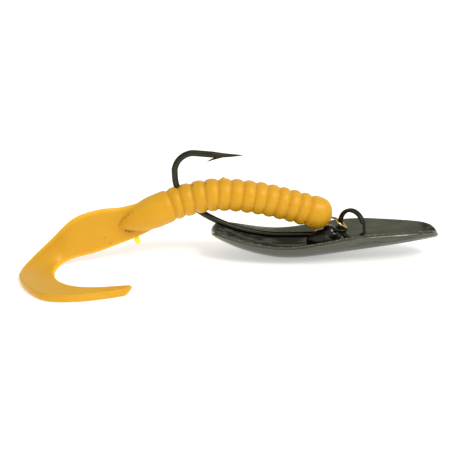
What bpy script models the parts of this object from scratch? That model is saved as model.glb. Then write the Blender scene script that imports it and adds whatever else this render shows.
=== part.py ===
"""Soft plastic curl-tail worm rigged on a black weedless spoon.

A single hook is soldered into the bowl of a stamped spoon. Its eye carries a split ring for the line,
and a brass corkscrew keeper on the ring holds the nose of the worm, whose body is pierced by the hook.
Lengths below are in millimetres. +X runs from tail to spoon tip, and +Z is up from the table.
"""

import math

import bmesh
import bpy
from mathutils import Matrix, Vector

MM = 0.001
GAP = 0.3  # clearance between touching pieces
FUSED_GAP = 0.12  # clearance where solder grips the hook

# Spoon blade
SPOON_LEFT = -3.2
SPOON_LENGTH = 60.0
SPOON_HALF_WIDTH = 8.4
SPOON_SKEW = 0.88  # below 1 moves the widest place towards the left end
SPOON_BLUNTNESS = 0.47
SPOON_THICKNESS = 0.9
BOWL_DEPTH = 5.0
DEEPEST_EXTRA = 0.65  # the bowl is this much deeper at DEEPEST_X
DEEPEST_X = 36.0
BELLY_X = 18.0  # where the keel meets the table
LEFT_RISE = 6.1
RIGHT_SLOPE = 0.148
RIGHT_BEND = 4.0  # how softly the keel turns up from the belly
BELLY_FLAT = 0.2  # how much of the keel is worn flat

# Hook wire, in the plane Y = 0
WIRE_RADIUS = 0.78
EYE_X = 31.65
EYE_Z = 7.3
EYE_HOLE_RADIUS = 1.65
EYE_WIRE_RADIUS = 0.55
BEND_CENTRE = (-8.3, 23.5)
BEND_RADIUS = 5.1
POINT_TIP = (4.9, 28.0)
TAPER_LENGTH = 7.5
SHANK = ((-12.9, 19.6), (-10.4, 15.6), (-6.0, 12.0), (0.0, 8.9), (6.0, 7.0), (12.0, 6.05), (17.0, 5.95),
         (22.0, 6.0), (26.0, 6.1), (28.0, 6.6), (29.55, 7.3))
BARB = ((-1.0, 27.8), (-4.55, 26.35), (-3.1, 28.0))

# Solder mount around the shank
MOUNT_HALF_WIDTH = 3.1
MOUNT_TOP = ((21.4, 4.2), (21.9, 6.3), (23.0, 7.1), (25.0, 7.25), (26.6, 7.5), (27.5, 7.6), (28.2, 7.2), (28.6, 6.1))

# Split ring, standing in the eye and swung towards -Y about a vertical line
RING_HINGE_X = 31.15
RING_HEIGHT = 9.5
RING_SWING = -47.0  # degrees
RING_RADIUS = 4.1  # to the middle of the wire
RING_WIRE = (0.60, 1.16)  # along the axis, and radially
RING_TURN_OFFSET = 0.34
RING_START = 20.0  # degrees, where the first turn begins
RING_JOG = (330.0, 380.0)  # degrees, where the wire steps from one turn to the other
RING_END = 670.0

# Brass keeper
KEEPER_WIRE_RADIUS = 0.27
KEEPER_EYE_CENTRE = (31.12, 9.2)
KEEPER_EYE_RADIUS = 1.88
KEEPER_EYE_TILT = 38.0  # degrees, nose side up
KEEPER_COIL_RADIUS = 1.2
KEEPER_TURNS = 4
KEEPER_LENGTH = 8.0

# Worm body
BODY_AXIS = ((-28.3, -4.7, 8.9), (-24.2, -3.5, 10.9), (-20.0, -2.3, 12.6), (-12.0, -0.5, 15.3),
             (-3.0, 0.0, 17.1), (7.0, 0.0, 16.5), (17.0, 0.0, 14.3), (28.7, 0.0, 10.9))
BODY_RADIUS = 4.25
OGIVE_LENGTH = 10.5
SMOOTH_LENGTH = 15.2  # from the tip of the ogive to the first groove
COLLAR_LENGTH = 2.8  # the first ring, nearest the tail
RING_COUNT = 11
FIRST_RING = 3.48
RING_SHRINK = 0.055  # each ring is this much shorter than the one behind it
GROOVE_DEPTH = 0.65
HEAD_RADIUS = 4.2

# Tail ribbon: matching points on its inner and outer edge, from the root to the tip of the curl
TAIL_THICKNESS = 1.3
TAIL_SHAVING = 0.05  # trimmed off its underside to make it flat
FLOOR = TAIL_THICKNESS / 2 - TAIL_SHAVING
INNER_EDGE = ((-16.5, -1.6, 9.8), (-22.5, -3.0, 6.9), (-28.5, -4.2, 4.6), (-34.5, -5.6, 2.7), (-39.8, -7.4, 1.3),
              (-42.9, -10.0, 0.8), (-44.0, -13.2, FLOOR), (-44.0, -17.0, FLOOR), (-43.0, -21.4, FLOOR),
              (-40.6, -25.4, FLOOR), (-37.0, -27.8, FLOOR), (-32.5, -28.4, FLOOR), (-27.8, -27.8, FLOOR),
              (-23.3, -26.8, FLOOR))
OUTER_EDGE = ((-15.5, -1.6, 17.8), (-21.5, -2.8, 16.2), (-27.5, -4.0, 14.9), (-33.5, -5.4, 14.6), (-40.0, -6.9, 12.6),
              (-46.0, -7.2, 7.0), (-50.8, -9.4, 2.6), (-53.0, -14.0, 0.8), (-52.6, -20.5, FLOOR),
              (-49.6, -28.0, FLOOR), (-44.4, -34.6, FLOOR), (-37.0, -36.2, FLOOR), (-29.4, -33.6, FLOOR),
              (-23.4, -29.8, FLOOR))
FLEX_STATION = 0.166  # share of the ribbon's length, just behind the ogive
FLEX_GAP = 0.006  # share of the ribbon's length left open on each side of the flex line


def clear_scene():
    for old in list(bpy.data.objects):
        bpy.data.objects.remove(old)


def collection(name):
    made = bpy.data.collections.new(name)
    bpy.context.scene.collection.children.link(made)
    return made


def material(name, colour, roughness, metallic):
    made = bpy.data.materials.new(name)
    made.use_nodes = True
    shader = made.node_tree.nodes["Principled BSDF"]
    shader.inputs["Base Color"].default_value = (*colour, 1)
    shader.inputs["Roughness"].default_value = roughness
    shader.inputs["Metallic"].default_value = metallic
    return made


def smooth_path(points, count):
    """Evenly numbered points on a Catmull-Rom curve through the given ones."""
    knots = [Vector(p) for p in points]
    knots = [2 * knots[0] - knots[1], *knots, 2 * knots[-1] - knots[-2]]
    spans = len(points) - 1
    path = []
    for i in range(count):
        place = i * spans / (count - 1)
        span = min(int(place), spans - 1)
        t = place - span
        a, b, c, d = knots[span:span + 4]
        path.append(0.5 * (2 * b + (c - a) * t + (2 * a - 5 * b + 4 * c - d) * t**2 + (3 * b - a - 3 * c + d) * t**3))
    return path


def resampled(path, step):
    """The same path with points at equal steps along it."""
    lengths = [0.0]
    for a, b in zip(path, path[1:]):
        lengths.append(lengths[-1] + (b - a).length)
    count = max(2, round(lengths[-1] / step) + 1)
    made, k = [], 0
    for i in range(count):
        want = lengths[-1] * i / (count - 1)
        while k < len(path) - 2 and lengths[k + 1] < want:
            k += 1
        made.append(path[k].lerp(path[k + 1], (want - lengths[k]) / (lengths[k + 1] - lengths[k])))
    return made


def add_object(name, data, group, look=None):
    made = bpy.data.objects.new(name, data)
    group.objects.link(made)
    if look:
        data.materials.append(look)
    return made


def tube(name, path, radii, resolution, group, look=None):
    """A round bar along path, as a mesh with welded caps. radii is one number, or one for each point."""
    curve = bpy.data.curves.new(name, "CURVE")
    curve.dimensions = "3D"
    curve.bevel_depth = MM
    curve.bevel_resolution = resolution
    curve.use_fill_caps = True
    spline = curve.splines.new("POLY")
    spline.points.add(len(path) - 1)
    for i, (point, place) in enumerate(zip(spline.points, path)):
        point.co = (*(place * MM), 1)
        point.radius = radii if isinstance(radii, (int, float)) else radii[i]
    return as_mesh(add_object(name + "_curve", curve, group), name, group, look)


def as_mesh(curve_object, name, group, look=None):
    bpy.context.view_layer.update()
    graph = bpy.context.evaluated_depsgraph_get()
    mesh = bpy.data.meshes.new_from_object(curve_object.evaluated_get(graph))
    mesh.name = name
    mesh.materials.clear()
    made = add_object(name, mesh, group, look)
    made.matrix_world = curve_object.matrix_world.copy()
    bpy.data.objects.remove(curve_object)
    weld(mesh)
    return made


def weld(mesh, distance=1e-6):
    shape = bmesh.new()
    shape.from_mesh(mesh)
    bmesh.ops.remove_doubles(shape, verts=shape.verts, dist=distance)
    bmesh.ops.recalc_face_normals(shape, faces=shape.faces)
    shape.to_mesh(mesh)
    shape.free()


def sheet(name, rows, group, look=None):
    """An open surface through rows of points. Rows that shrink to a point become a fan."""
    shape = bmesh.new()
    grid = [[shape.verts.new(p * MM) for p in row] for row in rows]
    for near, far in zip(grid, grid[1:]):
        for i in range(len(near) - 1):
            shape.faces.new((near[i], near[i + 1], far[i + 1], far[i]))
    bmesh.ops.remove_doubles(shape, verts=shape.verts, dist=1e-6)
    bmesh.ops.dissolve_degenerate(shape, edges=shape.edges, dist=1e-7)
    mesh = bpy.data.meshes.new(name)
    shape.to_mesh(mesh)
    shape.free()
    return add_object(name, mesh, group, look)


def loft(name, rings, group, look=None):
    """A closed body through closed rings of points, capped at both ends."""
    shape = bmesh.new()
    loops = [[shape.verts.new(p * MM) for p in ring] for ring in rings]
    for near, far in zip(loops, loops[1:]):
        for i in range(len(near)):
            j = (i + 1) % len(near)
            shape.faces.new((near[i], near[j], far[j], far[i]))
    shape.faces.new(loops[0])
    shape.faces.new(loops[-1])
    bmesh.ops.recalc_face_normals(shape, faces=shape.faces)
    mesh = bpy.data.meshes.new(name)
    shape.to_mesh(mesh)
    shape.free()
    return add_object(name, mesh, group, look)


def combine(target, other, operation):
    step = target.modifiers.new(operation.lower() + "_" + other.name, "BOOLEAN")
    step.operation = operation
    step.object = other
    step.solver = "EXACT"


def thicken(target, thickness, offset):
    step = target.modifiers.new("thickness", "SOLIDIFY")
    step.thickness = thickness * MM
    step.offset = offset
    step.use_even_offset = True
    step.use_rim = True


def hide(*helpers):
    for helper in helpers:
        helper.hide_render = True
        helper.display_type = "WIRE"


def keel_height(x):
    """Height of the bowl's inner floor along the middle of the spoon."""
    if x < BELLY_X:
        rise = LEFT_RISE * ((BELLY_X - x) / (BELLY_X - SPOON_LEFT)) ** 2
    else:
        rise = RIGHT_SLOPE * (math.hypot(x - BELLY_X, RIGHT_BEND) - RIGHT_BEND)
    return rise + SPOON_THICKNESS - BELLY_FLAT


def plumpness(x):
    t = min(1.0, max(0.0, (x - SPOON_LEFT) / SPOON_LENGTH))
    return max(0.0, math.sin(math.pi * t**SPOON_SKEW))


def half_width(x):
    return SPOON_HALF_WIDTH * plumpness(x) ** SPOON_BLUNTNESS


def bowl_height(x, y):
    """Height of the bowl's inner surface."""
    width = half_width(x)
    share = min(1.0, abs(y) / width) if width > 0 else 0.0
    depth = BOWL_DEPTH * plumpness(x) ** 0.43 + DEEPEST_EXTRA * math.exp(-((x - DEEPEST_X) / 9) ** 2)
    return keel_height(x) + depth * share**2


def table_cutter(name, cutters):
    """A block filling everything below the table."""
    bpy.ops.mesh.primitive_cube_add(size=1)
    table = bpy.context.object
    table.name = name
    table.data.transform(Matrix.Translation((0, 0, -5 * MM)) @ Matrix.Diagonal((0.16, 0.12, 0.01, 1)))
    move_to(table, cutters)
    return table


def move_to(made, group):
    for other in list(made.users_collection):
        other.objects.unlink(made)
    group.objects.link(made)


def make_spoon(group, cutters, look):
    stations, across = 40, 14
    rows = []
    for i in range(stations + 1):
        x = SPOON_LEFT + SPOON_LENGTH * (1 - math.cos(math.pi * i / stations)) / 2
        width = half_width(x) if 0 < i < stations else 0.0
        ys = [width * (2 * j / across - 1) for j in range(across + 1)]
        rows.append([Vector((x, y, bowl_height(x, y))) for y in ys])
    spoon = sheet("spoon_blade", rows, group, look)
    upwards = sum(face.normal.z for face in spoon.data.polygons) > 0
    thicken(spoon, SPOON_THICKNESS, -1 if upwards else 1)
    table = table_cutter("cut_belly_flat", cutters)
    combine(spoon, table, "DIFFERENCE")
    hide(table)
    return spoon


def hook_path():
    centre_x, centre_z = BEND_CENTRE
    bend = [(centre_x + BEND_RADIUS * math.cos(math.radians(a)), centre_z + BEND_RADIUS * math.sin(math.radians(a)))
            for a in range(90, 181, 15)]
    points = [POINT_TIP, (0.0, 28.0), (-4.5, 28.3), *bend, *SHANK]
    return resampled(smooth_path([Vector((x, 0, z)) for x, z in points], 400), 1.0)


def make_hook(group, cutters, look):
    path = hook_path()
    radii = []
    for place in path:
        run = (place - path[0]).length
        taper = min(1.0, run / TAPER_LENGTH) if place.z > BEND_CENTRE[1] else 1.0
        neck = 0.62 if place.x > 29.6 else 1.0
        radii.append(max(0.06, WIRE_RADIUS * taper**0.7 * neck))
    hook = tube("hook", path, radii, 3, group, look)
    bpy.ops.mesh.primitive_torus_add(major_radius=(EYE_HOLE_RADIUS + EYE_WIRE_RADIUS) * MM,
                                     minor_radius=EYE_WIRE_RADIUS * MM, major_segments=24, minor_segments=10)
    eye = bpy.context.object
    eye.name = "hook_eye"
    eye.location = (EYE_X * MM, 0, EYE_Z * MM)
    move_to(eye, cutters)
    barb = flat_outline("hook_barb", BARB, 0.56, cutters)
    combine(hook, eye, "UNION")
    combine(hook, barb, "UNION")
    hide(eye, barb)
    return hook


def flat_outline(name, points, thickness, group):
    """A flat piece standing in the plane Y = 0."""
    curve = bpy.data.curves.new(name, "CURVE")
    curve.dimensions = "2D"
    curve.fill_mode = "BOTH"
    curve.extrude = thickness / 2 * MM
    spline = curve.splines.new("POLY")
    spline.points.add(len(points) - 1)
    for point, (x, z) in zip(spline.points, points):
        point.co = (x * MM, z * MM, 0, 1)
    spline.use_cyclic_u = True
    outline = add_object(name + "_curve", curve, group)
    outline.rotation_euler.x = math.radians(90)
    return as_mesh(outline, name, group)


def mount_top(x):
    for (x0, z0), (x1, z1) in zip(MOUNT_TOP, MOUNT_TOP[1:]):
        if x <= x1:
            return z0 + (z1 - z0) * (x - x0) / (x1 - x0)
    return MOUNT_TOP[-1][1]


def make_solder(group, cutters, look):
    start, end = MOUNT_TOP[0][0], MOUNT_TOP[-1][0]
    rings = []
    for i in range(17):
        share = (1 - math.cos(math.pi * i / 16)) / 2
        x = start + (end - start) * share
        wide = MOUNT_HALF_WIDTH * max(0.35, math.sin(math.pi * (0.08 + 0.84 * share))) ** 0.5
        top = mount_top(x)
        ring = []
        for j in range(9):
            y = wide * (2 * j / 8 - 1)
            ring.append(Vector((x, y, bowl_height(x, y) + GAP)))
        side = bowl_height(x, wide) + GAP
        for j in range(1, 12):
            angle = math.pi * j / 12
            ring.append(Vector((x, wide * math.cos(angle), side + (top - side) * math.sin(angle) ** 0.8)))
        rings.append(ring)
    solder = loft("hook_solder", rings, group, look)
    shank = tube("cut_shank", hook_path(), WIRE_RADIUS + FUSED_GAP, 3, cutters)
    combine(solder, shank, "DIFFERENCE")
    hide(shank)
    return solder


def make_split_ring(group, look):
    along_axis, radial = RING_WIRE
    swing = Matrix.Rotation(math.radians(RING_SWING), 3, "Z")
    hinge = Vector((RING_HINGE_X, 0, RING_HEIGHT))
    rings = []
    for i in range(66):
        angle = RING_START + (RING_END - RING_START) * i / 65
        share = min(1.0, max(0.0, (angle - RING_JOG[0]) / (RING_JOG[1] - RING_JOG[0])))
        y = RING_TURN_OFFSET * (2 * share * share * (3 - 2 * share) - 1)
        turn = math.radians(angle)
        outward = Vector((math.cos(turn), 0, math.sin(turn)))
        middle = Vector((RING_RADIUS, y, 0)) + outward * RING_RADIUS
        ring = []
        for j in range(8):
            corner = math.radians(22.5 + 45 * j)
            place = middle + outward * (radial / 2 * 1.08 * math.cos(corner))
            place.y += along_axis / 2 * 1.08 * math.sin(corner)
            ring.append(hinge + swing @ place)
        rings.append(ring)
    return loft("split_ring", rings, group, look)


def keeper_path():
    """From the free tip of the corkscrew, out of the nose and once round the eye."""
    nose = Vector(BODY_AXIS[-1])
    inward = (Vector(BODY_AXIS[-2]) - nose).normalized()
    side = Vector((0, 1, 0))
    up = inward.cross(side)
    path = []
    for i in range(KEEPER_TURNS * 14, -1, -1):
        turn = 2 * math.pi * i / 14
        depth = 0.7 + KEEPER_LENGTH * i / (KEEPER_TURNS * 14)
        spread = KEEPER_COIL_RADIUS * min(1.0, 0.15 + i / 10)
        path.append(nose + inward * depth + (side * math.sin(turn) + up * math.cos(turn)) * spread)
    tilt = math.radians(KEEPER_EYE_TILT)
    down = Vector((math.cos(tilt), 0, -math.sin(tilt)))
    centre = Vector((KEEPER_EYE_CENTRE[0], 0, KEEPER_EYE_CENTRE[1]))
    for i in range(2, 23):
        angle = 2 * math.pi * i / 24
        path.append(centre + (down * -math.cos(angle) + side * math.sin(angle)) * KEEPER_EYE_RADIUS)
    return path


def make_keeper(group, look):
    return tube("worm_keeper", keeper_path(), KEEPER_WIRE_RADIUS, 2, group, look)


def body_radius(run, length):
    """Radius of the ringed body at a distance from the tip of the ogive."""
    if run < OGIVE_LENGTH:
        t = 1 - run / OGIVE_LENGTH
        return max(0.35, (BODY_RADIUS + 0.15) * (1 - t**2.1) ** 0.62)
    edges = [SMOOTH_LENGTH]
    edge = SMOOTH_LENGTH + COLLAR_LENGTH
    for k in range(RING_COUNT + 1):
        edges.append(edge)
        edge += FIRST_RING - RING_SHRINK * k
    radius = BODY_RADIUS + 0.15
    for edge in edges:
        near = max(0.0, 1 - abs(run - edge) / 1.3)
        radius -= GROOVE_DEPTH * (1 - math.sqrt(1 - near * near))
    left = length - run
    if left < HEAD_RADIUS:
        t = 1 - left / HEAD_RADIUS
        radius = min(radius, max(0.5, HEAD_RADIUS * math.sqrt(max(0.0, 1 - t * t))))
    return radius


def make_worm_body(group, cutters, look):
    path = resampled(smooth_path([Vector(p) for p in BODY_AXIS], 600), 0.42)
    runs = [0.0]
    for a, b in zip(path, path[1:]):
        runs.append(runs[-1] + (b - a).length)
    radii = [body_radius(run, runs[-1]) for run in runs]
    body = tube("worm_body", path, radii, 6, group, look)
    root = ribbon("worm_root_web", 0.0, FLEX_STATION - FLEX_GAP, cutters)
    channel = tube("cut_hook_channel", hook_path()[6:-12], WIRE_RADIUS + GAP, 3, cutters)
    nose = Vector(BODY_AXIS[-1])
    inward = (Vector(BODY_AXIS[-2]) - nose).normalized()
    bore_path = [nose - inward * 2, nose + inward * (KEEPER_LENGTH + 1.4)]
    bore = tube("cut_keeper_bore", bore_path, KEEPER_COIL_RADIUS + KEEPER_WIRE_RADIUS + GAP, 6, cutters)
    combine(body, root, "UNION")
    combine(body, channel, "DIFFERENCE")
    combine(body, bore, "DIFFERENCE")
    hide(root, channel, bore)
    return body


def ribbon(name, start, end, group, look=None):
    """Part of the tail ribbon, between two shares of its length."""
    inner = smooth_path(INNER_EDGE, 1001)
    outer = smooth_path(OUTER_EDGE, 1001)
    count = max(4, round(60 * (end - start)))
    rows = []
    for i in range(count + 1):
        k = round(1000 * (start + (end - start) * i / count))
        rows.append([inner[k].lerp(outer[k], j / 4) for j in range(5)])
    made = sheet(name, rows, group, look)
    thicken(made, TAIL_THICKNESS, 0)
    return made


def make_worm_tail(group, cutters, look):
    tail = ribbon("worm_tail", FLEX_STATION + FLEX_GAP, 1.0, group, look)
    table = table_cutter("cut_tail_flat", cutters)
    combine(tail, table, "DIFFERENCE")
    hide(table)
    return tail


def pivot_on(made, pivot):
    """Put the origin of a moving piece on its joint axis."""
    made.data.transform(Matrix.Translation(-pivot * MM))
    made.location = pivot * MM


def flex_line():
    inner = smooth_path(INNER_EDGE, 1001)[round(1000 * FLEX_STATION)]
    outer = smooth_path(OUTER_EDGE, 1001)[round(1000 * FLEX_STATION)]
    return (inner + outer) / 2


def centre_on_table(pieces):
    """Move everything so that the pieces stand on Z = 0, centred on the Z axis."""
    bpy.context.view_layer.update()
    graph = bpy.context.evaluated_depsgraph_get()
    low = Vector((1, 1, 1))
    high = Vector((-1, -1, -1))
    for piece in pieces:
        shape = piece.evaluated_get(graph)
        for vertex in shape.data.vertices:
            place = shape.matrix_world @ vertex.co
            low = Vector(map(min, low, place))
            high = Vector(map(max, high, place))
    shift = Vector((-(low.x + high.x) / 2, -(low.y + high.y) / 2, -low.z))
    for made in bpy.data.objects:
        made.location += shift
    print("moved by", [round(v / MM, 3) for v in shift], "mm")


def main():
    clear_scene()
    group = collection("soft_plastic_worm")
    cutters = collection("cutters")
    black = material("black_nickel_blade", (0.03, 0.03, 0.025), 0.12, 1)
    wire = material("black_hook_wire", (0.05, 0.05, 0.04), 0.25, 1)
    solder_black = material("black_solder", (0.02, 0.02, 0.02), 0.2, 1)
    ring_black = material("black_ring_wire", (0.04, 0.04, 0.035), 0.2, 1)
    brass = material("brass_wire", (0.7, 0.55, 0.22), 0.25, 1)
    plastic = material("amber_plastisol", (0.75, 0.36, 0.03), 0.3, 0)
    tail_plastic = material("amber_tail_plastisol", (0.85, 0.42, 0.02), 0.25, 0)
    spoon = make_spoon(group, cutters, black)
    hook = make_hook(group, cutters, wire)
    solder = make_solder(group, cutters, solder_black)
    ring = make_split_ring(group, ring_black)
    keeper = make_keeper(group, brass)
    body = make_worm_body(group, cutters, plastic)
    tail = make_worm_tail(group, cutters, tail_plastic)
    pivot_on(tail, flex_line())
    pivot_on(ring, Vector((RING_HINGE_X, 0, RING_HEIGHT)))
    pieces = [spoon, hook, solder, ring, keeper, body, tail]
    for piece in pieces:
        piece.data.shade_smooth()
    centre_on_table(pieces)


main()
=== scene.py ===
# %% [markdown]
# # A curl-tail worm on a weedless spoon
# This lesson builds the looks of one fishing lure around its CAD frame. The lure has a black-nickel spoon
# with a hook soldered in its bowl, and a soft ringed worm threaded on that hook.
# We work in millimetres, on a drawing whose Y = 0 plane holds the hook. One function moves each finished
# mesh from the drawing to the frame, so every object stays at the origin.

# %% Load the frame
import math

import bmesh
import bpy
import numpy as np
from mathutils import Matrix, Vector
from mathutils.bvhtree import BVHTree


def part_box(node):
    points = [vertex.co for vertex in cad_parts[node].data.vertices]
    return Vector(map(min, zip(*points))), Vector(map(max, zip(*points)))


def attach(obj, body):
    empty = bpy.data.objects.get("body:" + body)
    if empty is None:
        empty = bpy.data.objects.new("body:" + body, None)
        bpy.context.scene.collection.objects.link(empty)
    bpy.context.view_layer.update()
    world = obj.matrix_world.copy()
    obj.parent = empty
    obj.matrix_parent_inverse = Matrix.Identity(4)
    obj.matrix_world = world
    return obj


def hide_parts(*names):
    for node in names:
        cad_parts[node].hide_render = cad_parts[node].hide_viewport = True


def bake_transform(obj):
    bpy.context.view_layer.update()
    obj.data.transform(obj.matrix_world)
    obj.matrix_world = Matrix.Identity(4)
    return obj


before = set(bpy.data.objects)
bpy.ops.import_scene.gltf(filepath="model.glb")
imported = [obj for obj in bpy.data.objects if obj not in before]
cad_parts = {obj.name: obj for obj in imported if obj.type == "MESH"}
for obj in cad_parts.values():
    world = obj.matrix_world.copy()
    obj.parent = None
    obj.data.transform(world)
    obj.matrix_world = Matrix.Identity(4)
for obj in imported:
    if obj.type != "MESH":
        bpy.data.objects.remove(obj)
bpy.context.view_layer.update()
MM = 0.001
HOOK_REACH = 34.4  # from the drawing's origin to the right end of the CAD hook
hook_low, hook_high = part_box("hook")
HOME = Vector((hook_high.x - HOOK_REACH * MM, (hook_low.y + hook_high.y) / 2, 0))
print("drawing origin in the frame:", [round(v / MM, 2) for v in HOME], "mm")

# %% [markdown]
# ## Tools
# A few small helpers. `smooth_path` draws a Catmull-Rom curve through a handful of given points,
# `even_steps` spaces it evenly, `skin` covers a row of rings, and `piece` turns drawing points and faces into
# a mesh in the frame.

# %% Path and mesh helpers
def smooth_path(points, count):
    knots = np.array(points, float)
    knots = np.vstack([2 * knots[0] - knots[1], knots, 2 * knots[-1] - knots[-2]])
    place = np.linspace(0, len(points) - 1, count)
    span = np.minimum(place.astype(int), len(points) - 2)
    t = (place - span)[:, None]
    a, b, c, d = knots[span], knots[span + 1], knots[span + 2], knots[span + 3]
    return 0.5 * (2 * b + (c - a) * t + (2 * a - 5 * b + 4 * c - d) * t**2 + (3 * b - a - 3 * c + d) * t**3)


def run_along(path):
    return np.concatenate([[0], np.cumsum(np.linalg.norm(np.diff(path, axis=0), axis=1))])


def even_steps(path, count):
    runs = run_along(path)
    wanted = np.linspace(0, runs[-1], count)
    return np.column_stack([np.interp(wanted, runs, path[:, k]) for k in range(3)])


def unit(vectors):
    return vectors / np.maximum(np.linalg.norm(vectors, axis=-1, keepdims=True), 1e-9)


def full_turn(count):
    """Evenly spaced angles all the way round."""
    return np.linspace(0, 2 * math.pi, count, endpoint=False)


def piece(name, points, faces):
    mesh = bpy.data.meshes.new(name)
    mesh.from_pydata([HOME + Vector(p) * MM for p in points], [], faces)
    shape = bmesh.new()
    shape.from_mesh(mesh)
    bmesh.ops.remove_doubles(shape, verts=shape.verts, dist=1e-7)
    bmesh.ops.recalc_face_normals(shape, faces=shape.faces)
    shape.to_mesh(mesh)
    shape.free()
    mesh.shade_smooth()
    made = bpy.data.objects.new(name, mesh)
    bpy.context.scene.collection.objects.link(made)
    return made


def skin(rings, closed_ends=True):
    """Points and faces of a skin over equal rings of points."""
    count, around = len(rings), len(rings[0])
    points = [tuple(p) for ring in rings for p in ring]
    faces = []
    for i in range(count - 1):
        for j in range(around):
            k = (j + 1) % around
            faces.append((i * around + j, i * around + k, (i + 1) * around + k, (i + 1) * around + j))
    if closed_ends:
        faces.append(tuple(range(around))[::-1])
        faces.append(tuple((count - 1) * around + j for j in range(around)))
    return points, faces


def round_bar(path, radii, around=20, up=(0, 1, 0)):
    """Points and faces of a bar with a round section. The path never runs along `up`."""
    along = unit(np.gradient(path, axis=0))
    side = unit(np.cross(along, np.array(up, float)))
    other = np.cross(side, along)
    radii = np.broadcast_to(radii, len(path))
    turn = full_turn(around)
    rings = [p + r * (np.cos(turn)[:, None] * s + np.sin(turn)[:, None] * o)
             for p, r, s, o in zip(path, radii, side, other)]
    return skin(rings)


def join_parts(*parts):
    """Several sets of points and faces as one."""
    points, faces = [], []
    for some_points, some_faces in parts:
        faces += [tuple(k + len(points) for k in face) for face in some_faces]
        points += list(some_points)
    return points, faces


def ball(centre, sizes, steps=16):
    """Points and faces of a ball with three half-sizes."""
    rings = []
    for i in range(1, steps):
        a = math.pi * i / steps
        wide, high = math.sin(a), math.cos(a)
        rings.append([np.array(centre) + np.array(sizes) * (wide * math.cos(b), wide * math.sin(b), high)
                      for b in full_turn(2 * steps)])
    return skin(rings)


# %% [markdown]
# `melt` joins overlapping solids into one smooth casting: a voxel remesh, then a little smoothing.
# `bake` writes an object's modifiers into a plain mesh.

# %% Melting and baking
def plain_mesh(made):
    """An object's mesh with its modifiers worked out."""
    bpy.context.view_layer.update()
    graph = bpy.context.evaluated_depsgraph_get()
    return bpy.data.meshes.new_from_object(made.evaluated_get(graph), preserve_all_data_layers=True,
                                           depsgraph=graph)


def bake(made):
    mesh = plain_mesh(made)
    mesh.name = made.name
    made.modifiers.clear()
    made.data = mesh
    mesh.shade_smooth()


def melt(made, voxel, smoothing):
    remesh = made.modifiers.new("melt", "REMESH")
    remesh.mode = "VOXEL"
    remesh.voxel_size = voxel * MM
    relax = made.modifiers.new("relax", "SMOOTH")
    relax.factor = 0.5
    relax.iterations = smoothing
    bake(made)
    print(made.name, "has", len(made.data.polygons), "faces")


def drawing_points(made):
    """An object's vertices in drawing millimetres."""
    places = np.empty(len(made.data.vertices) * 3)
    made.data.vertices.foreach_get("co", places)
    return (places.reshape(-1, 3) - np.array(HOME)) / MM


def write_attribute(made, name, values):
    made.data.attributes.new(name, "FLOAT", "POINT").data.foreach_set("value", np.asarray(values, np.float32))


# %% [markdown]
# `add` makes one shader or geometry node with its settings and its inputs. An input is a value, a socket, or
# a node whose first output is linked. Colours are written as sRGB hex and turned linear by `linear`.
# `per` turns the real size of a pattern in millimetres into a texture scale.

# %% Node helpers
def linear(hex_colour):
    parts = [int(hex_colour[i:i + 2], 16) / 255 for i in (1, 3, 5)]
    return (*[c / 12.92 if c <= 0.04045 else ((c + 0.055) / 1.055) ** 2.4 for c in parts], 1)


def first_output(made):
    return next(socket for socket in made.outputs if socket.enabled)


def add(tree, kind, inputs=None, **settings):
    made = tree.nodes.new(kind)
    for key, value in settings.items():
        setattr(made, key, value)
    for key, value in (inputs or {}).items():
        if isinstance(value, bpy.types.Node):
            value = first_output(value)
        if isinstance(value, bpy.types.NodeSocket):
            tree.links.new(value, made.inputs[key])
        else:
            made.inputs[key].default_value = value
    return made


def per(size):
    """The texture scale at which one feature is this many millimetres wide."""
    return 1 / (size * MM)


def new_material(name, **values):
    """A material with its Principled shader; the values are set on the shader's own sockets."""
    made = bpy.data.materials.new(name)
    made.use_nodes = True
    shader = made.node_tree.nodes["Principled BSDF"]
    for key, value in values.items():
        shader.inputs[key.replace("_", " ")].default_value = value
    return made, made.node_tree, shader


def connect(tree, node, shader, name):
    tree.links.new(first_output(node), shader.inputs[name])


# %% [markdown]
# ## The worm
# The worm is plastisol, a soft PVC gel poured in an open mould. Its body is a bar along a gentle arch. The
# curve carries the thickness: a pointed rear end, a fat middle and a round head. Geometry Nodes then cut
# the grooves, whose spacing shrinks a little from ring to ring towards the head.

# %% The worm's measures and axis
BODY_AXIS = [(-28.0, -5.1, 10.0), (-24.2, -3.8, 11.3), (-20.0, -2.4, 12.6), (-12.0, -0.5, 15.3),
             (-3.0, 0.0, 17.1), (7.0, 0.0, 16.5), (17.0, 0.0, 14.3), (28.7, 0.0, 10.9)]
BODY_RADIUS = 4.4
REAR_POINT = 10.5
HEAD = 4.2
COLLAR_GROOVE = 15.0
FIRST_GROOVE = 17.8
RING_PITCH = 3.43
PITCH_LOSS = 0.055
RINGS = 11
GROOVE_DEPTH = 0.9
GROOVE_HALF_WIDTH = 1.6

axis = even_steps(smooth_path(BODY_AXIS, 800), 700)
runs = run_along(axis)
length = runs[-1]
rear = np.clip(1 - runs / REAR_POINT, 0, 1)
front = np.clip(1 - (length - runs) / HEAD, 0, 1)
thickness = BODY_RADIUS * np.maximum(0.03, 1 - rear**1.8) ** 0.7 * np.sqrt(np.maximum(0.002, 1 - front**2.2))
print("the body is", round(length, 1), "mm long")


# %% [markdown]
# The rule for ring number k at a distance along the worm is the inverse of the sum of the shrinking
# pitches, a small quadratic. Close to a whole k there is a groove. One more groove behind them leaves a
# short collar. Between two grooves the ring is a round bead.

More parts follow.
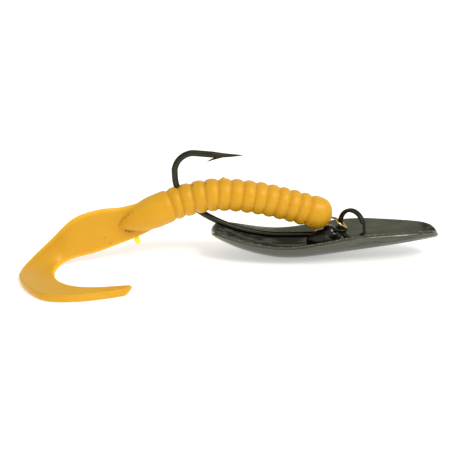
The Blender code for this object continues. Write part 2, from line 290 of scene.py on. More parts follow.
# %% A Geometry Nodes rule that cuts the rings
def ring_tool():
    tree = bpy.data.node_groups.new("ring grooves", "GeometryNodeTree")
    tree.interface.new_socket("Geometry", in_out="INPUT", socket_type="NodeSocketGeometry")
    for name, value in (("First groove", FIRST_GROOVE), ("Pitch", RING_PITCH), ("Pitch loss", PITCH_LOSS),
                        ("Rings", RINGS), ("Collar groove", COLLAR_GROOVE), ("Depth", GROOVE_DEPTH),
                        ("Half width", GROOVE_HALF_WIDTH), ("Millimetre", MM)):
        socket = tree.interface.new_socket(name, in_out="INPUT", socket_type="NodeSocketFloat")
        socket.default_value = value
    tree.interface.new_socket("Material", in_out="INPUT", socket_type="NodeSocketMaterial")
    tree.interface.new_socket("Geometry", in_out="OUTPUT", socket_type="NodeSocketGeometry")
    math_node = "ShaderNodeMath"
    given = add(tree, "NodeGroupInput").outputs
    loss = given["Pitch loss"]
    place = add(tree, "GeometryNodeSplineParameter").outputs["Length"]
    along = add(tree, math_node, {0: place, 1: given["Millimetre"]}, operation="DIVIDE")
    run = add(tree, math_node, {0: along, 1: given["First groove"]}, operation="SUBTRACT")
    middle = add(tree, math_node, {0: loss, 1: 0.5, 2: given["Pitch"]}, operation="MULTIPLY_ADD")
    square = add(tree, math_node, {0: middle, 1: 2.0}, operation="POWER")
    twice = add(tree, math_node, {0: loss, 1: 2.0}, operation="MULTIPLY")
    shrunk = add(tree, math_node, {0: twice, 1: run}, operation="MULTIPLY")
    inside = add(tree, math_node, {0: square, 1: shrunk}, operation="SUBTRACT")
    root = add(tree, math_node, {0: inside}, operation="SQRT")
    counted = add(tree, math_node, {0: middle, 1: root}, operation="SUBTRACT")
    number = add(tree, math_node, {0: counted, 1: loss}, operation="DIVIDE")
    whole = add(tree, math_node, {0: number}, operation="ROUND")
    at_least = add(tree, math_node, {0: whole, 1: 0.0}, operation="MAXIMUM")
    nearest = add(tree, math_node, {0: at_least, 1: given["Rings"]}, operation="MINIMUM")
    between = add(tree, math_node, {0: number, 1: nearest}, operation="SUBTRACT")
    apart = add(tree, math_node, {0: between}, operation="ABSOLUTE")
    from_ring = add(tree, math_node, {0: apart, 1: root}, operation="MULTIPLY")
    past_collar = add(tree, math_node, {0: along, 1: given["Collar groove"]}, operation="SUBTRACT")
    from_collar = add(tree, math_node, {0: past_collar}, operation="ABSOLUTE")
    away = add(tree, math_node, {0: from_ring, 1: from_collar}, operation="MINIMUM")
    share = add(tree, math_node, {0: away, 1: given["Half width"]}, operation="DIVIDE")
    near = add(tree, math_node, {0: 1.0, 1: share}, operation="SUBTRACT", use_clamp=True)
    bent = add(tree, math_node, {0: near, 1: 2.2}, operation="POWER")
    left_over = add(tree, math_node, {0: 1.0, 1: bent}, operation="SUBTRACT")
    shoulder = add(tree, math_node, {0: left_over, 1: 0.5}, operation="POWER")
    sunk = add(tree, math_node, {0: 1.0, 1: shoulder}, operation="SUBTRACT")
    crease = add(tree, math_node, {0: sunk, 1: given["Depth"]}, operation="MULTIPLY")
    deep = add(tree, math_node, {0: crease, 1: given["Millimetre"]}, operation="MULTIPLY")
    radius = add(tree, "GeometryNodeInputRadius")
    cut = add(tree, math_node, {0: radius, 1: deep}, operation="SUBTRACT")
    sound = add(tree, math_node, {0: cut, 1: 0.05 * MM}, operation="MAXIMUM")
    circle = add(tree, "GeometryNodeCurvePrimitiveCircle", {"Resolution": 96, "Radius": 1.0})
    body = add(tree, "GeometryNodeCurveToMesh", {"Curve": given["Geometry"], "Profile Curve": circle,
                                                 "Scale": sound, "Fill Caps": True})
    real = add(tree, "GeometryNodeRealizeInstances", {"Geometry": body})
    dressed = add(tree, "GeometryNodeSetMaterial", {"Geometry": real, "Material": given["Material"]})
    add(tree, "NodeGroupOutput", {"Geometry": dressed})
    return tree


def set_inputs(modifier, **values):
    """Set a Geometry Nodes modifier's inputs by their names."""
    for item in modifier.node_group.interface.items_tree:
        if item.in_out == "INPUT" and item.name.replace(" ", "_") in values:
            modifier[item.identifier] = values[item.name.replace(" ", "_")]


def ringed_body(material):
    curve = bpy.data.curves.new("ringed body", "CURVE")
    curve.dimensions = "3D"
    spline = curve.splines.new("POLY")
    spline.points.add(len(axis) - 1)
    for point, place, radius in zip(spline.points, axis, thickness):
        point.co = (*(HOME + Vector(place) * MM), 1)
        point.radius = radius * MM
    drawn = bpy.data.objects.new("ringed body", curve)
    bpy.context.scene.collection.objects.link(drawn)
    rings = drawn.modifiers.new("rings", "NODES")
    rings.node_group = ring_tool()
    set_inputs(rings, Material=material)
    made = bpy.data.objects.new("worm", plain_mesh(drawn))
    bpy.context.scene.collection.objects.link(made)
    bpy.data.objects.remove(drawn)
    return made


# %% [markdown]
# The tail is a ribbon between two listed edges. It leaves the body on edge, twists over and lies
# flat, curling back like a sickle. Past its middle it is thicker and its outer edge is nearly square.

# %% The tail ribbon
REST = 0.64  # the height of the ribbon's middle where it lies on the table
INNER_EDGE = [(-16.5, -1.8, 9.6), (-22.5, -3.2, 6.8), (-28.5, -4.3, 4.6), (-34.5, -5.6, 2.7),
              (-39.8, -7.4, 1.8), (-42.9, -10.0, 1.0), (-44.0, -13.2, REST), (-44.0, -17.0, REST),
              (-43.0, -21.4, REST), (-40.6, -25.4, REST), (-37.0, -27.8, REST), (-32.5, -28.4, REST),
              (-27.8, -27.7, REST), (-23.1, -26.7, REST)]
OUTER_EDGE = [(-15.5, -1.8, 17.7), (-21.5, -3.0, 16.2), (-27.5, -4.1, 14.9), (-33.5, -5.4, 14.6),
              (-40.0, -6.9, 12.6), (-46.0, -7.2, 7.0), (-50.8, -9.4, 2.6), (-53.0, -14.0, 0.8),
              (-52.6, -20.5, REST), (-49.6, -28.0, REST), (-44.4, -34.2, REST), (-37.0, -35.0, REST),
              (-29.6, -33.0, REST), (-24.2, -30.6, REST)]
THIN, THICK = 1.25, 1.95

inner_edge = smooth_path(INNER_EDGE, 300)
outer_edge = smooth_path(OUTER_EDGE, 300)


def tail_ribbon():
    across = outer_edge - inner_edge
    wide = np.linalg.norm(across, axis=1, keepdims=True)
    across = across / wide
    along = unit(np.gradient((inner_edge + outer_edge) / 2, axis=0))
    up = unit(np.cross(along, across))
    share = (1 - np.cos(np.linspace(0, math.pi, 33))) / 2
    last = len(inner_edge) - 1
    rings = []
    for i in range(len(inner_edge)):
        end = min(1.0, math.sqrt(max(0.02, (last - i) / 3)))
        past_middle = min(1.0, max(0.0, (i / last - 0.5) / 0.22))
        heavy = past_middle * past_middle * (3 - 2 * past_middle)
        half = (THIN + (THICK - THIN) * heavy) / 2
        inner_round = np.minimum(1, share * wide[i] / (0.8 + 0.9 * heavy))
        outer_round = np.minimum(1, (1 - share) * wide[i] / (0.7 - 0.35 * heavy))
        profile = half * np.sqrt(1 - (1 - inner_round) ** 2) * np.sqrt(1 - (1 - outer_round) ** 2) * end
        line = inner_edge[i] + share[:, None] * across[i] * wide[i] + np.array([0, 0, half - THIN / 2])
        top = line + up[i] * profile[:, None]
        bottom = line - up[i] * profile[:, None]
        rings.append(np.vstack([top, bottom[-2:0:-1]]))
    return skin(rings)


# %% [markdown]
# Plastisol lets light in for a millimetre or two, most of it yellow and red. Painted attributes steer the
# material: `crease` is 1 at the bottom of a groove, where painted shade darkens it towards brown, `tail` is 1
# out on the ribbon, where the colour is more open, `edge` is highest along the ribbon's two thin edges, where
# a painted glow brightens it as if light shone through, and `speck` marks grains of dirt and, along the lower
# side of the pointed rear end, painted shade in the crease where it meets the tail. The clouds of the pour
# are drawn 9 mm wide, its ripples 2.4 mm, and the pores 0.4 mm, coarser than the real ones of about 0.1 mm.

# %% Plastisol
def plastisol():
    made, tree, shader = new_material("amber plastisol, poured and demoulded", Roughness=0.42, IOR=1.45,
                                      Coat_Weight=0.15, Coat_Roughness=0.45, Specular_Tint=linear("#FFE8B8"),
                                      Subsurface_Weight=0.4, Subsurface_Radius=(1.0, 0.5, 0.1),
                                      Subsurface_Scale=1.6 * MM)
    where = add(tree, "ShaderNodeTexCoord").outputs["Object"]
    crease = add(tree, "ShaderNodeAttribute", attribute_name="crease").outputs["Fac"]
    tail = add(tree, "ShaderNodeAttribute", attribute_name="tail").outputs["Fac"]
    edge = add(tree, "ShaderNodeAttribute", attribute_name="edge").outputs["Fac"]
    cloud = add(tree, "ShaderNodeTexNoise", {"Vector": where, "Scale": per(9), "Detail": 3.0})
    body = add(tree, "ShaderNodeMix", {0: cloud, 6: linear("#CF9611"), 7: linear("#DBA522")},
               data_type="RGBA")
    ribbon = add(tree, "ShaderNodeMix", {0: cloud, 6: linear("#D09A16"), 7: linear("#DAA628")},
                 data_type="RGBA")
    colour = add(tree, "ShaderNodeMix", {0: tail, 6: body, 7: ribbon}, data_type="RGBA")
    # Painted glow: the ribbon's thin edges are brightened towards yellow, standing in for light shining
    # through them.
    lit = add(tree, "ShaderNodeMath", {0: edge, 1: 0.5}, operation="MULTIPLY")
    colour = add(tree, "ShaderNodeMix", {0: lit, 6: colour, 7: linear("#FFC81E")}, data_type="RGBA")
    # Painted shade: the bottom of each groove is darkened towards brown.
    sunk = add(tree, "ShaderNodeMath", {0: crease, 1: 0.3}, operation="MULTIPLY")
    colour = add(tree, "ShaderNodeMix", {0: sunk, 6: colour, 7: linear("#BA7A08")}, data_type="RGBA")
    # `speck`: dark grains of dirt, and painted shade in the crease at the pointed rear end.
    speck = add(tree, "ShaderNodeAttribute", attribute_name="speck").outputs["Fac"]
    colour = add(tree, "ShaderNodeMix", {0: speck, 6: colour, 7: linear("#70350A")}, data_type="RGBA")
    connect(tree, colour, shader, "Base Color")
    mottle = add(tree, "ShaderNodeTexNoise", {"Vector": where, "Scale": per(2.4), "Detail": 2.0})
    pores = add(tree, "ShaderNodeTexNoise", {"Vector": where, "Scale": per(0.4), "Detail": 2.0})
    height = add(tree, "ShaderNodeMath", {0: pores, 1: 0.2, 2: mottle}, operation="MULTIPLY_ADD")
    bump = add(tree, "ShaderNodeBump", {"Strength": 0.5, "Distance": 0.16 * MM, "Height": height})
    connect(tree, bump, shader, "Normal")
    return made


amber = plastisol()

# %% [markdown]
# Body, ribbon and the little pip of flash on one ring go into the melt together, so the worm is one
# moulding. Then we measure each vertex against the axis and the edges to paint the attributes.

# %% Pour the worm
def add_points(made, points, faces):
    """Add more drawing points and faces to an object's mesh."""
    shape = bmesh.new()
    shape.from_mesh(made.data)
    new = [shape.verts.new(HOME + Vector(p) * MM) for p in points]
    for face in faces:
        shape.faces.new([new[k] for k in face])
    bmesh.ops.recalc_face_normals(shape, faces=shape.faces)
    shape.to_mesh(made.data)
    shape.free()


def nearest_on(path, points):
    """How far each point is from a path of points, and the index of the nearest one."""
    best = np.full(len(points), 1e9)
    found = np.zeros(len(points), int)
    for index, place in enumerate(path):
        away = ((points - place) ** 2).sum(axis=1)
        closer = away < best
        best[closer] = away[closer]
        found[closer] = index
    return np.sqrt(best), found


def groove_runs():
    """How far along the axis each groove is."""
    return [COLLAR_GROOVE] + [FIRST_GROOVE + k * RING_PITCH - PITCH_LOSS * k * (k - 1) / 2
                              for k in range(RINGS + 1)]


# Dark specks, each as its place seen from the side (x, z), its size and how dark it is. Most are grains of
# dirt; the first four are painted shade in the crease along the lower side of the pointed rear end.
SPECKS = [(-26.4, 8.5, 0.3, 0.8), (-25.7, 8.2, 0.25, 0.9), (-25.0, 8.2, 0.28, 0.7), (-24.3, 8.2, 0.22, 0.6),
          (-32.0, 6.9, 0.15, 0.85), (-30.6, 5.1, 0.16, 0.75), (-26.4, 12.4, 0.25, 0.5),
          (-25.4, 13.2, 0.28, 0.45), (-24.5, 13.9, 0.25, 0.4), (-8.7, 20.2, 0.28, 0.9),
          (-5.1, 20.7, 0.25, 0.9), (-1.4, 21.0, 0.18, 0.6), (1.8, 13.6, 0.15, 0.6), (5.1, 12.9, 0.14, 0.5),
          (8.6, 12.3, 0.16, 0.6), (15.6, 11.6, 0.14, 0.5), (-6.0, 17.2, 0.14, 0.4), (-1.2, 19.4, 0.12, 0.35),
          (11.0, 16.6, 0.12, 0.35), (19.5, 14.0, 0.12, 0.35)]
CREASE_SHADE_HALF_WIDTH = 0.34

worm = ringed_body(amber)
add_points(worm, *tail_ribbon())
add_points(worm, *ball((-0.45, -0.3, 21.65), (0.55, 0.6, 0.5)))
melt(worm, 0.205, 2)
points = drawing_points(worm)
away, index = nearest_on(axis[::4], points)
run = runs[::4][index]
to_groove = np.min([np.abs(run - g) for g in groove_runs()], axis=0)
in_body = (away < 6) & (run > COLLAR_GROOVE - 1)
# Painted shade in the grooves: `crease` is 1 at a groove's bottom and fades out within the half width.
write_attribute(worm, "crease", np.where(in_body, np.clip(1 - to_groove / CREASE_SHADE_HALF_WIDTH, 0, 1), 0))
on_tail = np.clip((-22 - points[:, 0]) / 8, 0, 1) * np.clip((away - 1.5) / 2.5, 0, 1)
write_attribute(worm, "tail", on_tail)
# Painted glow along the ribbon's two thin edges, strongest right at each edge.
to_edge = np.minimum(nearest_on(inner_edge[::2], points)[0], nearest_on(outer_edge[::2], points)[0])
glow = np.where(points[:, 1] < -18, 0.15, 1)  # the thick part that lies flat glows least
write_attribute(worm, "edge", on_tail * glow * np.clip(1 - (to_edge - 0.5) / 0.9, 0, 1))
shape = bmesh.new()
shape.from_mesh(worm.data)
surface = BVHTree.FromBMesh(shape)
dirt_and_shade = np.zeros(len(points))
for x, z, size, depth in SPECKS:
    hit = surface.ray_cast(HOME + Vector((x, -80, z)) * MM, Vector((0, 1, 0)))[0]
    if hit is not None:
        spot = np.array((hit - HOME) / MM)
        dirt_and_shade = np.maximum(dirt_and_shade, depth * np.clip(1.6 - np.linalg.norm(points - spot, axis=1) / size, 0, 1))
shape.free()
write_attribute(worm, "speck", dirt_and_shade)
worm.data.materials.clear()
worm.data.materials.append(amber)
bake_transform(worm)
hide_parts("worm_body", "worm_tail")
print("grooves at", [round(g, 1) for g in groove_runs()], "mm from the rear point")

# %% [markdown]
# ## The spoon
# The blade is stamped from thin sheet. In plan it is a long leaf. Its keel curves like a boat's, steeper
# at the left end, and its section is a trough that stays deep nearly up to both tips, with a little extra
# dish right of the middle. We map a square grid onto a disc and the disc onto the leaf, so that the faces
# stay even right up to both tips. The belly is set a fifth of a millimetre into the floor.

# %% Spoon surface
SPOON_LEFT = -3.2
SPOON_LENGTH = 60.3
SPOON_SHEET = 0.9
SPOON_HALF_WIDTH = 8.9
BELLY = 18.0
BELLY_SINK = 0.2
BOWL_DEPTH = 5.0
DISH = 36.0


def plumpness(x):
    """From 0 at both tips to 1 where the leaf is widest."""
    share = np.clip((x - SPOON_LEFT) / SPOON_LENGTH, 0, 1)
    return np.maximum(np.sin(math.pi * share**0.88), 0)


def near_right_tip(x):
    return np.clip((x - 40) / 16, 0, 1)


def half_width(x):
    fullness = 0.47 - 0.08 * near_right_tip(x) - 0.18 * np.clip((26 - x) / 20, 0, 1)
    return (SPOON_HALF_WIDTH - 0.5 * np.clip((x - 26) / 10, 0, 1)) * plumpness(x) ** fullness


def keel(x):
    """The height of the inner face along the middle of the blade."""
    left = 6.1 * (np.maximum(BELLY - x, 0) / (BELLY - SPOON_LEFT)) ** 2
    right = 0.148 * (np.hypot(np.maximum(x - BELLY, 0), 4) - 4)
    return left + right + 0.3 * near_right_tip(x) ** 2 + SPOON_SHEET - BELLY_SINK


def bowl(x, y):
    """The height of the inner face."""
    share = np.clip(np.abs(y) / np.maximum(half_width(x), 1e-6), 0, 1)
    depth = BOWL_DEPTH * plumpness(x) ** (0.43 - 0.09 * near_right_tip(x))
    depth = depth + 0.65 * np.exp(-(((x - DISH) / 9) ** 2))
    return keel(x) + (depth - 0.5 * np.clip((24 - x) / 10, 0, 1) * plumpness(x)) * share**2


def spoon_grid(steps=121):
    a, b = np.meshgrid(np.linspace(-1, 1, steps), np.linspace(-1, 1, steps), indexing="ij")
    u = a * np.sqrt(1 - b * b / 2)
    v = b * np.sqrt(1 - a * a / 2)
    x = SPOON_LEFT + SPOON_LENGTH * (1 + u) / 2
    side = v / np.sqrt(np.maximum(1 - u * u, 1e-4))
    y = np.clip(side, -1, 1) * half_width(x)
    points = np.stack([x, y, bowl(x, y)], axis=-1).reshape(-1, 3)
    faces = []
    for i in range(steps - 1):
        for j in range(steps - 1):
            k = i * steps + j
            faces.append((k, k + 1, k + steps + 1, k + steps))
    return points, faces


# %% [markdown]
# Black nickel is a thin dark plating. The polished blade mirrors the room at about a seventh of its
# brightness, with a warm olive cast, and the duller wire at a twentieth. On the rim it has rubbed and
# chipped through to the bright metal, which the `rim` attribute places. The `under` attribute places painted
# shade, standing in for shade and for the dark things the metal mirrors: in the bowl left of the mount,
# inside the right tip, and on the whole outside, darker towards the right. Dark streaks, drawn 0.9 mm apart,
# run along the blade as painted reflections of the wire and rim; in the bowl they also break the painted
# shade into bands. Chips are drawn 0.6 mm wide, dents 5 mm and patches of wear 6 mm.

# %% Black nickel
def black_nickel(name, dark, light, roughness, wobble, blade):
    made, tree, shader = new_material(name, Metallic=1.0)
    where = add(tree, "ShaderNodeTexCoord").outputs["Object"]
    patch = add(tree, "ShaderNodeTexNoise", {"Vector": where, "Scale": per(6), "Detail": 4.0})
    shade = add(tree, "ShaderNodeMix", {0: patch, 6: linear(dark), 7: linear(light)}, data_type="RGBA")
    if blade:
        # Painted reflection: dark streaks along the blade, standing in for the reflected wire and rim.
        stretched = add(tree, "ShaderNodeMapping", {"Vector": where, "Scale": (0.012, 1, 1)})
        reflection_streaks = add(tree, "ShaderNodeTexNoise", {"Vector": stretched, "Scale": per(0.9), "Detail": 1.0})
        streak_reflection = add(tree, "ShaderNodeMapRange", {0: reflection_streaks, 1: 0.35, 2: 0.65, 3: 0.0, 4: 0.25})
        shade = add(tree, "ShaderNodeMix", {0: streak_reflection, 6: shade, 7: linear("#3C3B2E")}, data_type="RGBA")
        # Painted shade: the `under` attribute darkens the blade towards near black, in streaky bands.
        shade_mask = add(tree, "ShaderNodeAttribute", attribute_name="under").outputs["Fac"]
        patchy = add(tree, "ShaderNodeMapRange", {0: reflection_streaks, 1: 0.46, 2: 0.58, 3: 1.0, 4: 0.25})
        under = add(tree, "ShaderNodeMath", {0: shade_mask, 1: patchy}, operation="MULTIPLY")
        shade = add(tree, "ShaderNodeMix", {0: under, 6: shade, 7: linear("#211F17")}, data_type="RGBA")
        border = add(tree, "ShaderNodeAttribute", attribute_name="rim").outputs["Fac"]
        rim = add(tree, "ShaderNodeMapRange", {0: border, 1: 0.6, 2: 0.95})
        grit = add(tree, "ShaderNodeTexNoise", {"Vector": where, "Scale": per(0.6), "Detail": 2.0})
        worn = add(tree, "ShaderNodeMapRange", {0: grit, 1: 0.5, 2: 0.64})
        chip = add(tree, "ShaderNodeMath", {0: worn, 1: rim}, operation="MULTIPLY")
        shade = add(tree, "ShaderNodeMix", {0: chip, 6: shade, 7: linear("#A5A294")}, data_type="RGBA")
    connect(tree, shade, shader, "Base Color")
    rough = add(tree, "ShaderNodeMapRange", {0: patch, 1: 0.3, 2: 0.7, 3: roughness * 0.8,
                                             4: roughness * 1.3})
    connect(tree, rough, shader, "Roughness")
    dents = add(tree, "ShaderNodeTexNoise", {"Vector": where, "Scale": per(5), "Detail": 1.0})
    bump = add(tree, "ShaderNodeBump", {"Strength": 1.0, "Distance": wobble * MM, "Height": dents})
    connect(tree, bump, shader, "Normal")
    return made


blade_nickel = black_nickel("black nickel plate on stamped brass", "#67675A", "#6E6E61", roughness=0.2,
                            wobble=0.02, blade=True)
wire_nickel = black_nickel("black nickel on hook wire", "#33332A", "#3F3F35", roughness=0.32, wobble=0.01,
                           blade=False)
ring_nickel = black_nickel("black nickel on ring wire", "#34352C", "#404137", roughness=0.42, wobble=0.01,
                           blade=False)

# %% Press the spoon
points, faces = spoon_grid()
spoon = piece("spoon", points, faces)
upwards = sum(face.normal.z for face in spoon.data.polygons) > 0
sheet = spoon.modifiers.new("sheet", "SOLIDIFY")
sheet.thickness = SPOON_SHEET * MM
sheet.offset = -1 if upwards else 1
sheet.use_even_offset = True
edge = spoon.modifiers.new("rolled edge", "BEVEL")
edge.width = 0.2 * MM
edge.segments = 2
edge.limit_method = "ANGLE"
edge.angle_limit = math.radians(50)
bake(spoon)
points = drawing_points(spoon)
to_rim = half_width(points[:, 0]) - np.abs(points[:, 1])
near_tip = np.minimum(points[:, 0] - SPOON_LEFT, SPOON_LEFT + SPOON_LENGTH - points[:, 0])
inner = points[:, 2] - bowl(points[:, 0], points[:, 1]) > -SPOON_SHEET / 2
write_attribute(spoon, "rim", inner * np.clip(1 - np.minimum(to_rim, near_tip) / 0.25, 0, 1))
# Painted shade in the bowl left of the mount, inside the right tip and on the outside; left of x = 0 it
# reaches nearly to the rim.
inward = np.where(points[:, 0] < 0, np.clip(to_rim / 0.3, 0, 1), np.clip((to_rim - 0.4) / 1.2, 0, 1))
left_of_mount = np.clip((27 - points[:, 0]) / 6, 0, 1) * inward * inner
outside = ~inner * np.clip((points[:, 0] + 5) / 60, 0, 1)
tip_shade = np.clip((points[:, 0] - 52.8) / 1.5, 0, 1) * np.clip(points[:, 1] / 0.6 + 0.5, 0, 1) * inner
write_attribute(spoon, "under", np.maximum.reduce([left_of_mount * 0.85, tip_shade * 0.7, outside * 0.85]))
spoon.data.materials.append(blade_nickel)
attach(spoon, "rig")
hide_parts("spoon_blade")
low, high = points.min(0), points.max(0)
print("spoon", [round(v, 1) for v in high - low], "mm, lowest at", round(low[2], 2))

# %% [markdown]
# ## The hook
# One wire makes the hook. It is ground to a long needle at the point, a sliver is cut up for the barb, and
# the other end is drawn thinner and bent round into the eye.

# %% Bend the hook
WIRE = 0.84  # half the wire's thickness, as all the sizes of round wire here
POINT = [(4.9, 28.0), (0.0, 28.0), (-4.5, 28.3)]
POINT_LENGTH = 8.2
BEND_MIDDLE, BEND_RADIUS = (-8.3, 23.5), 5.1
SHANK = [(-12.9, 19.6), (-10.4, 15.6), (-6.0, 12.0), (0.0, 8.9), (6.0, 7.0), (12.0, 6.05), (17.0, 5.95),
         (22.0, 6.0), (26.0, 6.1), (28.0, 6.6), (29.55, 7.3)]
NECK_START, NECK_WIRE = 28.8, 0.55
EYE = np.array([31.05, 0, 7.55])
EYE_RADIUS, EYE_WIRE = 1.85, 0.4

bend = [(BEND_MIDDLE[0] + BEND_RADIUS * math.cos(a), BEND_MIDDLE[1] + BEND_RADIUS * math.sin(a))
        for a in np.linspace(math.pi / 2, math.pi, 7)]
wire_path = even_steps(smooth_path([(x, 0, z) for x, z in (*POINT, *bend, *SHANK)], 900), 420)
ground = np.clip(run_along(wire_path) / POINT_LENGTH, 0, 1)
wire_radii = WIRE * np.maximum(ground**0.75, 0.03)
wire_radii = np.where(wire_path[:, 0] > NECK_START, np.minimum(wire_radii, NECK_WIRE), wire_radii)
eye_rings = []
for turn in full_turn(60):
    out = np.array([math.cos(turn), math.sin(turn), 0])
    eye_rings.append([EYE + out * EYE_RADIUS + EYE_WIRE * (out * math.cos(b) + np.array([0, 0, math.sin(b)]))
                      for b in full_turn(20)])
eye = skin([*eye_rings, eye_rings[0]], closed_ends=False)


def barb():
    """A sliver lifted off the inside of the wire: sections from its root to its sharp tip."""
    root, tip = np.array([-0.9, 0, 27.75]), np.array([-4.8, 0, 26.25])
    rings = []
    across, lift = np.array([0, 1, 0]), np.array([-0.35, 0, 0.94])
    for share in np.linspace(0, 1, 9):
        middle = root + (tip - root) * share + np.array([0, 0, 0.1 * math.sin(math.pi * share)])
        wide = 0.5 * (1 - share) ** 0.5 + 0.03
        deep = 0.42 * (1 - share) ** 0.7 + 0.03
        rings.append([middle + wide * math.cos(b) * across + deep * math.sin(b) * lift
                      for b in full_turn(12)])
    return skin(rings)


hook = piece("hook_wire", *join_parts(round_bar(wire_path, wire_radii), eye, barb()))
hook.data.materials.append(wire_nickel)
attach(hook, "rig")
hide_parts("hook")
print("hook wire", round(run_along(wire_path)[-1], 1), "mm long")

# %% [markdown]
# ## The solder mount
# Solder runs round the shank and freezes as a lump with rounded shoulders, then takes the same dark
# plating. Melting a few overlapping lumps together gives that shape. The root and the far side of the
# hook's eye are sunk in it, and the near side stands clear. Its surface ripples are drawn 2 mm wide.

# %% Solder
solder_look, tree, shader = new_material("plated solder, smooth and nearly black",
                                         Base_Color=linear("#1D1D18"), Metallic=0.6, Roughness=0.2,
                                         Coat_Weight=0.35, Coat_Roughness=0.08)
where = add(tree, "ShaderNodeTexCoord").outputs["Object"]
ripples = add(tree, "ShaderNodeTexNoise", {"Vector": where, "Scale": per(2), "Detail": 1.0})
bump = add(tree, "ShaderNodeBump", {"Strength": 1.0, "Distance": 0.05 * MM, "Height": ripples})
connect(tree, bump, shader, "Normal")

# Each lump is its middle and its three half-sizes.
LUMPS = [((27.0, 0, 4.2), (4.6, 3.3, 3.3)), ((24.3, 0, 4.0), (2.3, 2.0, 2.6)),
         ((30.1, 0.8, 5.4), (1.6, 1.4, 1.3)), ((28.3, 0, 6.4), (2.3, 2.4, 2.2)),
         ((29.4, 0, 4.4), (2.2, 2.1, 1.9)), ((28.9, 1.9, 6.2), (1.5, 0.9, 1.2)),
         ((31.3, 2.0, 6.5), (1.5, 1.0, 1.5)), ((28.9, -1.9, 6.2), (1.5, 0.9, 1.2))]
solder = piece("solder_mount", *join_parts(*[ball(middle, sizes) for middle, sizes in LUMPS]))
melt(solder, 0.14, 6)
solder.data.materials.append(solder_look)
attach(solder, "rig")
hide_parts("hook_solder")

# %% [markdown]
# ## The split ring
# A split ring is flat-sided wire wound nearly twice. The wire steps from one turn to the other over a
# short jog, which shows as a knuckle at the ring's side. The ring hangs in the hook's eye without touching
# it, and has swung about halfway round towards us.

# %% Wind the split ring
RING_HINGE = np.array([31.15, 0, 9.5])
RING_RADIUS = 4.1
RING_SWING = math.radians(-47)
WIRE_TALL, WIRE_WIDE = 0.5, 0.3
COIL_START, COIL_END = 20, 670
TURN_SHIFT = 0.34  # each turn lies this far from the middle of the coil
JOG_START, JOG_LENGTH, KNUCKLE = 330, 50, 0.5

ring_out = np.array([math.cos(RING_SWING), math.sin(RING_SWING), 0])
ring_side = np.array([-math.sin(RING_SWING), math.cos(RING_SWING), 0])
ring_rings = []
for angle in np.linspace(COIL_START, COIL_END, 261):
    share = min(1, max(0, (angle - JOG_START) / JOG_LENGTH))
    offset = TURN_SHIFT * (2 * share * share * (3 - 2 * share) - 1)
    turn = math.radians(angle)
    out = math.cos(turn) * ring_out + np.array([0, 0, math.sin(turn)])
    knuckle = KNUCKLE * math.exp(-(((angle + 180) % 360 - 170) / 8) ** 2)
    middle = RING_HINGE + ring_out * RING_RADIUS + out * (RING_RADIUS + knuckle) + ring_side * offset
    end = min(1, math.sqrt(max(0.05, min(angle - COIL_START, COIL_END - angle) / 4)))
    corners = []
    for b in full_turn(20):
        c, s = math.cos(b), math.sin(b)
        corners.append(middle + end * (out * WIRE_TALL * math.copysign(abs(c) ** 0.8, c)
                                       + ring_side * WIRE_WIDE * math.copysign(abs(s) ** 0.8, s)))
    ring_rings.append(corners)
ring = piece("split_ring_wire", *skin(ring_rings))
print("split ring", round(2 * (RING_RADIUS + WIRE_TALL), 1), "mm across")
ring.data.materials.append(ring_nickel)
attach(ring, "ring")
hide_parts("split_ring")

# %% [markdown]
# ## The keeper
# Thin brass wire makes a corkscrew that is screwed into the worm's nose and an eye that hangs on the ring.
# Stains on the brass are drawn 1.6 mm wide.

# %% Brass keeper
brass, tree, shader = new_material("drawn brass wire", Metallic=1.0, Roughness=0.22)
where = add(tree, "ShaderNodeTexCoord").outputs["Object"]
stain = add(tree, "ShaderNodeTexNoise", {"Vector": where, "Scale": per(1.6), "Detail": 3.0})
colour = add(tree, "ShaderNodeMix", {0: stain, 6: linear("#B99A55"), 7: linear("#E6CE8C")}, data_type="RGBA")
connect(tree, colour, shader, "Base Color")

KEEPER_EYE = np.array([31.12, 0, 9.2])
KEEPER_LOOP, KEEPER_WIRE = 1.88, 0.31
SCREW_RADIUS, SCREW_PITCH, SCREW_TURNS = 1.2, 2, 4

nose = np.array(BODY_AXIS[-1])
inward = unit(np.array(BODY_AXIS[-2]) - nose)
side = np.array([0.0, 1.0, 0.0])
lift = np.cross(inward, side)
keeper_path = []
for turn in np.linspace(SCREW_TURNS, 0, 113):
    spread = SCREW_RADIUS * min(1, 0.15 + turn * 1.4)
    around = side * math.sin(turn * 2 * math.pi) + lift * math.cos(turn * 2 * math.pi)
    keeper_path.append(nose + inward * (0.7 + SCREW_PITCH * turn) + spread * around)
tilt = math.radians(38)
down = np.array([math.cos(tilt), 0, -math.sin(tilt)])
for turn in np.linspace(0.16, 1.9, 60) * math.pi:
    keeper_path.append(KEEPER_EYE + KEEPER_LOOP * (side * math.sin(turn) - down * math.cos(turn)))
keeper_path = even_steps(smooth_path(keeper_path, 1400), 360)
keeper = piece("brass_keeper", *round_bar(keeper_path, KEEPER_WIRE, around=12, up=(0.3, 0.1, 0.95)))
keeper.data.materials.append(brass)
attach(keeper, "rig")
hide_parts("worm_keeper")
print("keeper wire", round(run_along(keeper_path)[-1], 1), "mm long")

# %% [markdown]
# ## A drop of flash
# A bright yellow drop of plastic hangs under the root of the tail, left over from the mould.

# %% Flash
flash_look = new_material("bright yellow flash of plastisol", Base_Color=linear("#FBEA1C"), Roughness=0.4,
                          Subsurface_Weight=0.6, Subsurface_Radius=(1.0, 0.9, 0.2),
                          Subsurface_Scale=1.0 * MM)[0]
upper_drop = ball((-23.6, -3.1, 5.6), (0.75, 0.5, 0.9))
lower_drop = ball((-23.3, -3.1, 4.9), (0.6, 0.45, 0.8))
flash = piece("flash", *join_parts(upper_drop, lower_drop))
melt(flash, 0.08, 4)
flash.data.materials.append(flash_look)
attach(flash, "rig")

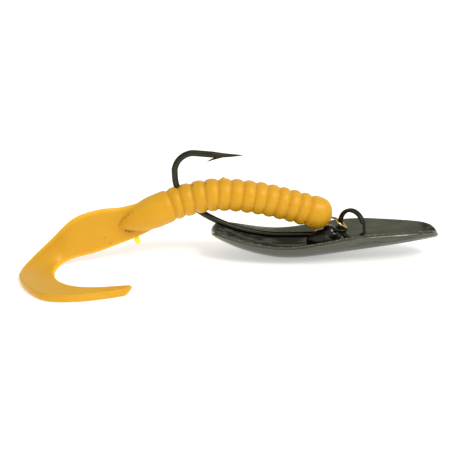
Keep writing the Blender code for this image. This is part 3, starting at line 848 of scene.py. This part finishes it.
# %% [markdown]
# ## The studio
# Small goods are often shown on a white acrylic sheet that is lit a little from below, with one big soft
# light to the front right. The glow from below keeps shadows pale. The camera stands in front, looking
# down by 18 degrees through a long lens.

# %% Floor and light
FLOOR_SIZE = 6  # metres, as the light's place and size
KEY_PLACE, KEY_SIZE, KEY_WATTS = (0.45, -0.4, 0.72), 0.45, 5.2

floor_look = new_material("white acrylic sheet, lit from below", Base_Color=linear("#E9E8E4"), Roughness=0.7,
                          Emission_Color=(1, 1, 0.99, 1), Emission_Strength=0.42)[0]
bpy.ops.mesh.primitive_plane_add(size=FLOOR_SIZE)
floor = bpy.context.object
floor.name = "floor"
floor.data.materials.append(floor_look)

world = bpy.data.worlds.new("white room")
world.use_nodes = True
background = world.node_tree.nodes["Background"]
background.inputs["Color"].default_value = (1.0, 1.0, 0.985, 1)
background.inputs["Strength"].default_value = 0.66
bpy.context.scene.world = world
bpy.context.scene.view_settings.view_transform = "Standard"

lamp = bpy.data.lights.new("key", "AREA")
lamp.shape = "DISK"
lamp.size = KEY_SIZE
lamp.energy = KEY_WATTS
lamp.color = (1, 0.98, 0.94)
key = bpy.data.objects.new("key", lamp)
key.location = HOME + Vector(KEY_PLACE)
key.rotation_euler = (-Vector(KEY_PLACE)).to_track_quat("-Z", "Y").to_euler()
bpy.context.scene.collection.objects.link(key)
print("key light", round(Vector(KEY_PLACE).length, 2), "m away")

# %% Camera
LOOK_DOWN = math.radians(18)
LENS = 94.8
AIM_HEIGHT = 8.585
CAMERA_DISTANCE = 320

camera_data = bpy.data.cameras.new("camera")
camera_data.lens = LENS
camera_data.sensor_width = 36
camera = bpy.data.objects.new("camera", camera_data)
camera.location = HOME + Vector((0, -CAMERA_DISTANCE * math.cos(LOOK_DOWN),
                                 AIM_HEIGHT + CAMERA_DISTANCE * math.sin(LOOK_DOWN))) * MM
camera.rotation_euler = (math.pi / 2 - LOOK_DOWN, 0, 0)
bpy.context.scene.collection.objects.link(camera)
bpy.context.scene.camera = camera
print("camera", CAMERA_DISTANCE, "mm away,", round(camera.location.z / MM), "mm up")
